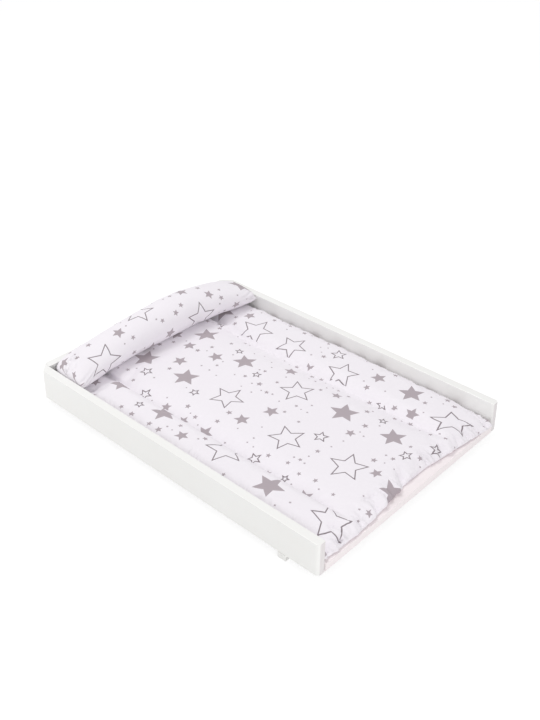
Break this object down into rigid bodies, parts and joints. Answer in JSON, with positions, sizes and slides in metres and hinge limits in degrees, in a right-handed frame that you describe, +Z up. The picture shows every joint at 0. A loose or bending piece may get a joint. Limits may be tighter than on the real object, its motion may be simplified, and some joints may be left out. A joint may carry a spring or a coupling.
{
  "type": "changing board",
  "caption": "Changing board for a cot: flat base with a low rim on three sides, open foot end, on cross battens, with a soft printed mat and bolster in it.",
  "frame": {"origin": "bottom centre of the bounding box, level with the undersides of the two battens", "axes": "+Z up, +Y along the board's length from the open foot end to the head end, +X to the right side panel"},
  "size_m": [0.54, 0.75, 0.133],
  "materials": {
    "white_wood": "satin",
    "beech": "matte",
    "zinc": "satin",
    "steel": "satin",
    "print_cloth": "matte",
    "plain_cloth": "matte",
    "wadding": "matte",
    "elastic": "matte"
  },
  "bodies": {
    "board": {"base_panel": "white_wood", "left_side_panel": "white_wood", "right_side_panel": "white_wood", "head_panel": "white_wood", "foot_batten": "white_wood", "head_batten": "white_wood", "cam_lock_left_1": "zinc", "cam_lock_left_2": "zinc", "cam_lock_left_3": "zinc", "cam_lock_right_1": "zinc", "cam_lock_right_2": "zinc", "cam_lock_right_3": "zinc", "cam_lock_head_1": "zinc", "cam_lock_head_2": "zinc", "cam_bolt_left_1": "zinc", "cam_bolt_left_2": "zinc", "cam_bolt_left_3": "zinc", "cam_bolt_right_1": "zinc", "cam_bolt_right_2": "zinc", "cam_bolt_right_3": "zinc", "cam_bolt_head_1": "zinc", "cam_bolt_head_2": "zinc", "dowel_left_1": "beech", "dowel_left_2": "beech", "dowel_right_1": "beech", "dowel_right_2": "beech", "dowel_head_1": "beech", "dowel_head_2": "beech", "foot_batten_screw_1": "steel", "foot_batten_screw_2": "steel", "foot_batten_screw_3": "steel", "foot_batten_screw_4": "steel", "head_batten_screw_1": "steel", "head_batten_screw_2": "steel", "head_batten_screw_3": "steel", "head_batten_screw_4": "steel"},
    "mat": {"mat_cover": "print_cloth", "mat_base_cloth": "plain_cloth", "left_cushion_filling": "wadding", "centre_filling": "wadding", "right_cushion_filling": "wadding", "hem_elastic": "elastic", "bolster_cover": "print_cloth", "bolster_filling": "wadding"}
  },
  "joints": [
    {"name": "mat_lift", "type": "slide", "parent": "board", "child": "mat", "axis": [0, 0, 1], "range_m": [0, 0.15]}
  ]
}
